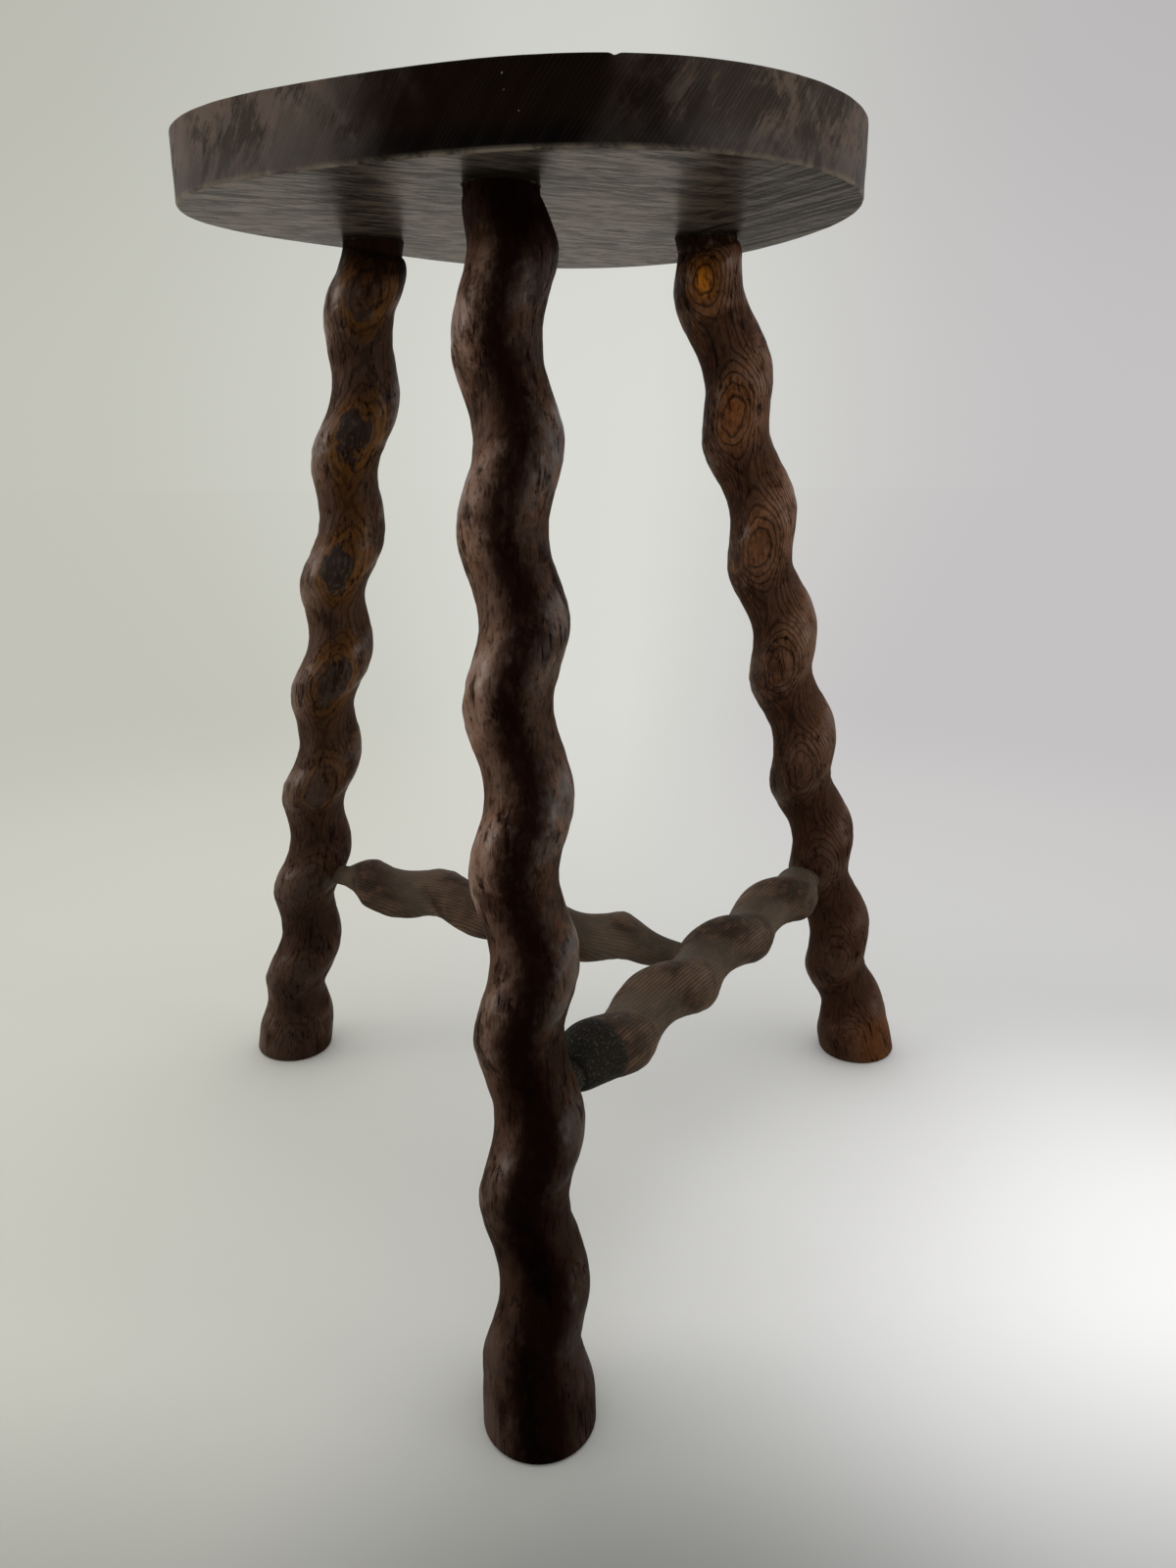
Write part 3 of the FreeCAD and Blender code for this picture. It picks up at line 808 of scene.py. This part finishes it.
# Bearings, in degrees: the seat's dark middle, painted shade where the rim faces the dim side
# of the room, its saw marks on the rim, its grain, the saw cuts across it, and the open sides of the room
DARK_MIDDLE = (-38, -18, 8, 23)
MARKS_SLANT = -54
GRAIN_BEARING = -22
CUTS_BEARING = 66
OPEN_SIDE = (38, 80)
# Saw marks: radians to a metre, and how far the noise bends them
MARKS_PACE = 5000
MARKS_DRIFT = 12
# Middles of the floor's painted shadow and of its painted pool of light
SHADE_PLACE = (0.01, -0.26, 0.0)
POOL_PLACE = (0.27, -0.11, 0.0)

# ---- Finishes ----


def growth_layers(finish, local, grain, taper):
    """Growth layers: distance from a pith line beside the piece, bent by slow noise.

    The layers are counted from a given reach; taper is how much farther they stand for each
    metre up the piece. Returns the count, and the dark late wood in each layer after the first.
    """
    slow, fine = finish.noises(local, LAYER_NOISES, "slow", "fine")
    across = finish.vector("MULTIPLY", finish.vector("SUBTRACT", local, grain["pith"]), (1, 1, 0))
    distance = finish.vector("LENGTH", across, output="Value") - finish.parts(local)[2] * taper
    layers = (distance - grain["reach"] + slow.swing(grain["waviness"])) / grain["spacing"]
    layers = layers + fine.swing(LAYER_SWING)
    return layers, finish.band(layers.maths("FRACT"), *LATE_WOOD) * finish.step(layers, *FIRST_LAYER)


def leg_finish(leg):
    """Stained turned oak: layers cut into ovals by the twist, stain blotches and fine cracks.

    The front carries a dark stripe, stain deepened by painted shade where it faces the dim side of the room;
    the flanks are lighter, the one towards the open side painted lighter, and are polished.
    """
    finish = Finish("stained_leg_" + leg)
    axis, grain, tones = leg_axes[leg], LEG_GRAIN[leg], LEG_TONES[leg]
    local = finish.local(*axis.mapping())
    side, _, up = finish.parts(local)
    taper = (LEG_STRAND_RADII[0] - LEG_STRAND_RADII[1]) / axis.length
    layers, late = growth_layers(finish, local, grain, taper)
    blotch, cloud, cracks, fleck = finish.noises(local, LEG_NOISES, "blotch", "cloud", "cracks", "fleck")

    def step(value, name):
        return finish.step(value, *LEG_STEPS[name])

    crack = step(cracks, "crack") * step(blotch, "cracked")
    hollow = finish.attribute("hollow")
    low = 1 - finish.step(up, *grain["low_end"])
    foot = 1 - step(up + cloud.swing(LEG_SWINGS["foot"]), "foot")
    # The dark stripe along the front, where it faces the dim side of the room: stain with painted shade
    front = finish.attribute("front") + low * STRIPE_WIDENING + cloud.swing(LEG_SWINGS["front"])
    stripe = step(front, "stripe")
    ends = (grain["stripe"], grain["stripe"] * LEG_SHARES["stripe_least"])
    stripe = stripe * finish.step(cloud, *LEG_STEPS["stripe_cloud"], *ends)
    # Near black at the lower front: stain deepened by painted shade
    deepest = stripe * low * step(front, "deepest") * step(blotch, "deepest_blotch")
    # The top oval turns to the crown tone: partly the wood's gold, partly painted light against the seat's
    # shade
    crown = step(up, "crown")
    bent = layers + cloud.swing(LEG_SWINGS["layers"]) + blotch.swing(grain["wander"]) - crown * CROWN_GROWTH
    heart = finish.blend(crown, tones["heart"], tones["crown"])
    heart = finish.blend(finish.step(bent, *grain["fringe"]), heart, tones["fringe"])
    eye = (1 - finish.step(bent, *grain["edge"])) * finish.step(up, *grain["fade"])
    # The dark neck under the seat: stain with painted shade
    top = axis.length * MM
    neck_ends = (top - grain["neck"], top - LEG_SHARES["full_neck"] * grain["neck"])
    neck = finish.step(up + cloud.swing(LEG_SWINGS["neck"]), *neck_ends)
    # Left tone to right tone across the leg: partly the wood's tone, and the flank towards the open side is
    # painted lighter (painted light)
    colour = finish.coats(
        finish.blend(finish.step(side, *grain["change"]), tones["left"], tones["right"]),
        (step(cloud, "warm"), tones["warm"]),
        (eye, heart),
        (step(fleck, "light"), tones["light"]),
        (step(fleck, "shade"), tones["shade"]),
        (step(blotch, "stain") * grain["stain"] * (1 - eye * LEG_SHARES["unstained_eye"]), tones["shade"]),
        (late * grain["ring_share"], tones["ring"]),
        # Dark valleys: dirt with painted shade
        (step(hollow, "valley") * grain["valley"], tones["shade"]),
        (low * grain["low"], tones["shade"]),
        (stripe, tones["ring"]),
        (deepest, DEEPEST_STAIN_AND_SHADE),
        (foot * step(side, "foot_side") * grain["foot"], tones["heart"]),
        (crack * LEG_SHARES["crack"], tones["ring"]),
        (neck * LEG_SHARES["neck"], tones["ring"]),
    )
    height = cloud * 1.1 + blotch * 1.4 - late * 0.10 - crack * 0.6 + fleck * 0.3
    polish = (1 - stripe) * (1 - crack) * step(blotch, "polish_blotch") * (1 - neck)
    polish = polish * step(hollow, "polish_hollow") * step(up, "polish_up")
    return finish.put(
        Base_Color=colour, Roughness=0.42 + cloud * 0.2, Normal=finish.bump(height, 0.0007, 1.0),
        Specular_IOR_Level=0.01, Specular_Tint=WARM_GLOSS,
        Coat_Weight=polish * grain["polish"], Coat_Roughness=0.28,
    )


def rail_finish(rail, collar=None):
    """Drier, dusty turned wood: fine rings on the lobes and grey dust in the hollows."""
    finish = Finish("dusty_rail_" + rail)
    tones = RAIL_TONES
    local = finish.local(*rail_axes[rail].mapping())
    _, late = growth_layers(finish, local, RAIL_GRAIN, 0.0)
    blotch, cloud, cracks = finish.noises(local, RAIL_NOISES, "blotch", "cloud", "cracks")
    crack = finish.step(cracks, *RAIL_STEPS["crack"])
    colour = finish.coats(
        finish.blend(finish.step(blotch, *RAIL_STEPS["body"]), tones["shade"], tones["body"]),
        (finish.step(cloud, *RAIL_STEPS["warm"]), tones["warm"]),
        (late * RAIL_SHARES["ring"], tones["ring"]),
        (finish.step(finish.attribute("hollow"), *RAIL_STEPS["dust"]), tones["dust"]),
        (crack * RAIL_SHARES["crack"], tones["ring"]),
    )
    if collar:
        edge = 1 - finish.step(finish.parts(local)[2] + cloud.swing(COLLAR_SWING), *collar["reach"])
        speck, = finish.noises(local, RAIL_NOISES, "speck")
        crumbs = finish.blend(finish.step(speck, *RAIL_STEPS["crumb"]), collar["stain"], collar["crumb"])
        colour = finish.blend(edge, colour, crumbs)
    height = cloud * 0.8 + blotch - late * 0.2 - crack * 0.4
    return finish.put(
        Base_Color=colour, Roughness=0.48 + cloud * 0.2, Normal=finish.bump(height, 0.0005, 0.9),
        Specular_IOR_Level=0.03, Specular_Tint=WARM_GLOSS,
    )


def seat_finish():
    """Mottled stain with slanting saw marks on the edge, and long streaks underneath."""
    finish = Finish("mottled_sawn_seat")
    tones, shares, swings = SEAT_TONES, SEAT_SHARES, SEAT_SWINGS
    local = finish.local(Vector(SEAT_MIDDLE * MM))
    rim = finish.node("UVMap", {"uv_map": "Rim"}, {})
    slanted = finish.turned(rim, MARKS_SLANT)
    drift, strength, broad, strokes = finish.noises(
        slanted, SEAT_NOISES, "drift", "strength", "broad", "strokes")
    streaks, wide, scratch = finish.noises(
        finish.turned(local, GRAIN_BEARING), SEAT_NOISES, "streaks", "wide", "scratch")
    cuts, = finish.noises(finish.turned(local, CUTS_BEARING), SEAT_NOISES, "cuts")
    mottle, patch, speck = (finish.noise(local, *SEAT_NOISES[name]) for name in ("mottle", "patch", "speck"))

    def step(value, name):
        return finish.step(value, *SEAT_STEPS[name])

    lines = ((finish.parts(slanted)[1] * MARKS_PACE + drift * MARKS_DRIFT).maths("SINE") + 1) / 2
    marks = lines * step(strength, "marks")
    right, back, _ = finish.parts(local)
    low_band = step(finish.parts(rim)[1] - UNDERSIDE * MM + mottle.swing(swings["low_band"]), "low_band")
    bearing = finish.maths("ARCTAN2", right, -back) + patch.swing(swings["bearing"])
    # The rim's dark middle, where it faces the dim side of the room: painted shade
    dark = finish.band(bearing, *map(math.radians, DARK_MIDDLE))
    rusty = finish.blend(step(right, "rusty_right"), tones["rusty_left"], tones["rusty_right"])
    edge = finish.coats(
        finish.blend(step(mottle * 0.65 + strokes * 0.35, "pale"), tones["dark"], tones["pale"]),
        (step(patch + strokes.swing(swings["rusty"]), "rusty"), rusty),
        (low_band * shares["low_band"], tones["low_band"]),
        (step(broad, "broad"), tones["broad"]),
        (dark * shares["middle"], finish.blend(low_band, tones["middle"], tones["middle_low"])),
        (marks * (shares["marks"] - dark * shares["marks_lost"]), tones["marks"]),
        (step(speck, "speck"), tones["speck"]),
    )
    sawn_side = step(right + mottle.swing(swings["sawn_side"]), "sawn_side")
    cut = step(cuts, "cut") * sawn_side
    under = finish.coats(
        finish.blend(step(streaks, "under_pale"), tones["under_dark"], tones["under_pale"]),
        (step(wide, "wide"), tones["wide"]),
        (step(scratch, "scratch"), tones["scratch"]),
        (sawn_side * shares["sawn_side"], tones["sawn_side"]),
        (cut * shares["cut"], tones["cut"]),
    )
    # Darker ring round each leg's socket on the underside: grime with painted shade
    for leg in LEGS:
        socket = finish.vector("DISTANCE", local, Vector((TOP_OF[leg] - SEAT_MIDDLE) * MM), output="Value")
        under = finish.blend(step(socket + mottle.swing(swings["grime_and_shade"]), "grime_and_shade"), under, tones["grime_and_shade"])
    side = finish.attribute("side")
    worn = finish.attribute("lower_rim") * step(mottle, "worn")
    colour = finish.blend(worn, finish.blend(side, under, edge), tones["worn"])
    height = side * (marks * 0.15 + broad * 0.25 + mottle * 0.6)
    height = height + (1 - side) * (streaks - cut * 1.2 + wide * 0.5)
    gloss = (1 - side) * (1 - sawn_side * 0.5) * step(streaks, "gloss") * (1 - cut * 0.9)
    return finish.put(
        Base_Color=colour, Roughness=0.34 + mottle * 0.12 + side * 0.1,
        Normal=finish.bump(height, 0.0004, 0.8),
        Specular_IOR_Level=0.01, Specular_Tint=WARM_GLOSS, Coat_Weight=gloss, Coat_Roughness=0.25,
    )


def glue_finish():
    finish = Finish("dried_glue")
    speck = finish.noise(finish.local(), *GLUE_NOISE)
    colour = finish.blend(finish.step(speck, *GLUE_STEP), *GLUE_TONES)
    return finish.put(Base_Color=colour, Roughness=0.8, Specular_IOR_Level=0.1)


def backdrop_colour(nodes, share):
    """Pale wall, lighter in the middle: share is how far to the right, from -1 to 1."""
    return nodes.ramp(nodes.step(share, *BACKDROP_STEP), BACKDROP)


def paper_finish():
    """Pale paper, as the camera and gloss see it, with a painted shadow under and in front of the stool and
    a painted pool of light to the right; it fades into the backdrop far away.
    """
    finish = Finish("pale_paper")
    tones = PAPER_TONES
    place = finish.local()
    right, back, _ = finish.parts(place)

    def step(value, name):
        return finish.step(value, *PAPER_STEPS[name])

    def distance_from(spot):
        return finish.vector("DISTANCE", place, spot, output="Value")

    distance = finish.vector("LENGTH", place, output="Value")
    path = finish.node("LightPath", {}, {}).output.node.outputs
    seen = Socket(finish, path["Is Camera Ray"])
    mirrored = Socket(finish, path["Is Glossy Ray"])
    bearing = finish.maths("ARCTAN2", right, -back).maths("ABSOLUTE")
    open_side = finish.step(bearing, *map(math.radians, OPEN_SIDE))
    # Painted shadow on the floor, under the stool and towards the camera
    near = step(distance_from(SHADE_PLACE), "under") * step(back, "front")
    tint = finish.ramp(step(right, "across"), PAPER)
    # Painted pool of light on the floor to the right
    tint = finish.blend(step(distance_from(POOL_PLACE), "pool"), tint, tones["pool"])
    painted_floor_shadow = finish.node("CombineXYZ", {}, {0: near, 1: near, 2: near})
    pale = finish.vector("MULTIPLY", tint, painted_floor_shadow)
    grey = finish.blend(open_side, tones["front"], tones["sides"])
    grey = finish.blend(mirrored * open_side, grey, tones["mirrored"])
    finish.put(Base_Color=finish.blend(seen, grey, pale), Roughness=0.95, Specular_IOR_Level=0.1)
    fade = step(distance, "fade") * (seen + mirrored * open_side)
    far = finish.blend(mirrored, backdrop_colour(finish, right / distance), tones["mirrored_far"])
    glow = finish.node("Emission", {}, {"Color": far, "Strength": 1.0})
    mixed = finish.node("MixShader", {}, {
        0: fade, 1: Socket(finish, finish.shader.outputs[0]), 2: glow,
    })
    finish.tree.links.new(mixed.output, finish.tree.nodes["Material Output"].inputs["Surface"])
    return finish.material


# ---- The pieces, dressed ----

seat_piece().data.materials.append(seat_finish())
for leg in LEGS:
    leg_piece(leg).data.materials.append(leg_finish(leg))
glue = glue_finish()
for leg, (thickness, seed) in GLUE_BEADS.items():
    glue_bead(leg, thickness, seed).data.materials.append(glue)
rail_piece("cross").data.materials.append(rail_finish("cross", DARK_COLLAR))
rail_piece("stem").data.materials.append(rail_finish("stem"))

# ---- Floor, light and camera ----

FLOOR_REACH = 6.0
floor_mesh = bpy.data.meshes.new("floor")
floor_mesh.from_pydata(
    [(-FLOOR_REACH, -FLOOR_REACH, 0), (FLOOR_REACH, -FLOOR_REACH, 0),
     (FLOOR_REACH, FLOOR_REACH, 0), (-FLOOR_REACH, FLOOR_REACH, 0)], [], [(0, 1, 2, 3)])
floor = bpy.data.objects.new("floor", floor_mesh)
bpy.context.scene.collection.objects.link(floor)
floor_mesh.materials.append(paper_finish())


# Light's strength from every side, more from the sides, the ceiling and the windows
PLAIN_LIGHT = 0.62
SIDE_LIGHT = 0.56
CEILING_LIGHT = 0.62
WINDOW_LIGHTS = (7.5, 4.5)
WINDOW_WARMTH = (1.0, 0.93, 0.84)
PLAIN_WHITE = (1.0, 1.0, 1.0)
# Bearings from the camera's side, in degrees, and heights as shares of the sky
SIDE_BEARINGS = (45, 80)
LEFT_WINDOW = (70, 78, 92, 102)
RIGHT_WINDOW = (54, 62, 73, 81)
WINDOW_HEIGHTS = (-0.08, 0.02, 0.24, 0.36)
CEILING_HEIGHTS = (0.55, 0.90)
# The wall that the camera sees grows a little darker upwards
WALL_STEP = (0.0, 0.35, 1.0, 0.88)


def light_room():
    """Soft light from both sides, the back and above; the camera's own side is dim.

    The bearing is measured from the camera's side, rising to the right.
    """
    world = bpy.data.worlds.new("soft_room")
    bpy.context.scene.world = world
    world.use_nodes = True
    room = Nodes(world.node_tree)
    background = world.node_tree.nodes["Background"].inputs
    right, back, up = room.parts(room.node("TexCoord", {}, {}, "Generated"))
    bearing = room.maths("ARCTAN2", right, -back)
    side_ends = [math.radians(degrees) for degrees in SIDE_BEARINGS]
    sides = room.step(-bearing, *side_ends) + room.step(bearing, *side_ends)
    left_window = room.band(-bearing, *map(math.radians, LEFT_WINDOW))
    right_window = room.band(bearing, *map(math.radians, RIGHT_WINDOW))
    pane = room.band(up, *WINDOW_HEIGHTS)
    ceiling = room.step(up, *CEILING_HEIGHTS)
    windows = (left_window * WINDOW_LIGHTS[0] + right_window * WINDOW_LIGHTS[1]) * pane
    strength = PLAIN_LIGHT + (sides * SIDE_LIGHT + windows) * (1 - ceiling) + ceiling * CEILING_LIGHT
    seen = room.node("LightPath", {}, {}, "Is Camera Ray")
    wall = room.step(up, *WALL_STEP)
    room.fill(background["Strength"], strength * (1 - seen) + wall * seen)
    warmth = room.blend((left_window + right_window) * pane, PLAIN_WHITE, WINDOW_WARMTH)
    room.fill(background["Color"], room.blend(seen, warmth, backdrop_colour(room, right)))


light_room()

CAMERA_FROM_SEAT_MIDDLE = (0.0, -508.8, 358.4)
CAMERA_PITCH = -17.77
CAMERA_YAW = 2.21
FOCAL_LENGTH_PX = 1155
FRAME_HEIGHT_PX = 1600
SENSOR = 36.0
camera_data = bpy.data.cameras.new("camera")
camera_data.sensor_width = SENSOR
camera_data.lens = FOCAL_LENGTH_PX / FRAME_HEIGHT_PX * SENSOR
camera_data.clip_start = 0.01
camera = bpy.data.objects.new("camera", camera_data)
bpy.context.scene.collection.objects.link(camera)
camera.location = Vector((SEAT_MIDDLE + CAMERA_FROM_SEAT_MIDDLE) * MM)
pitch, yaw = math.radians(CAMERA_PITCH), math.radians(CAMERA_YAW)
facing = Vector((math.sin(yaw) * math.cos(pitch), math.cos(yaw) * math.cos(pitch), math.sin(pitch)))
camera.rotation_euler = facing.to_track_quat("-Z", "Y").to_euler()
bpy.context.scene.camera = camera

bpy.context.scene.view_settings.view_transform = "Standard"
